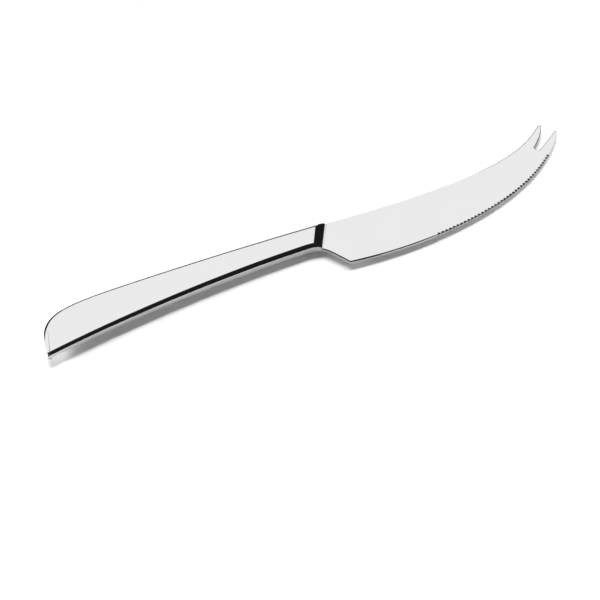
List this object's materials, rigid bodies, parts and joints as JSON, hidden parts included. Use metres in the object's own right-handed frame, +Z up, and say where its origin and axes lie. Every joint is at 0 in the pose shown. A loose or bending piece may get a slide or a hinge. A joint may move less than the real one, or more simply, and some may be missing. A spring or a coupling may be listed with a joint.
{
  "type": "cheese knife",
  "caption": "Cheese knife with a flat hollow handle, a stepped neck, a long blade with a finely serrated edge and an upturned fork tip",
  "frame": {"origin": "centre of the bounding box at the level of the handle's underside, on which the knife lies", "axes": "+X from the butt to the fork tip along the knife's back, +Y from the cutting edge to the back, +Z up from the face that it lies on"},
  "size_m": [0.2339, 0.0428, 0.005],
  "materials": {
    "blade_steel": "mirror-polished stainless steel",
    "handle_steel": "mirror-polished stainless steel",
    "braze": "silver braze, ground flush and polished",
    "solder": "solder fillet, polished",
    "cement": "matt filler, unseen"
  },
  "bodies": {
    "root": {"blade": "blade_steel", "handle_shell_face": "handle_steel", "handle_shell_back": "handle_steel", "seam_braze": "braze", "mouth_solder": "solder", "handle_cement": "cement"}
  },
  "joints": []
}
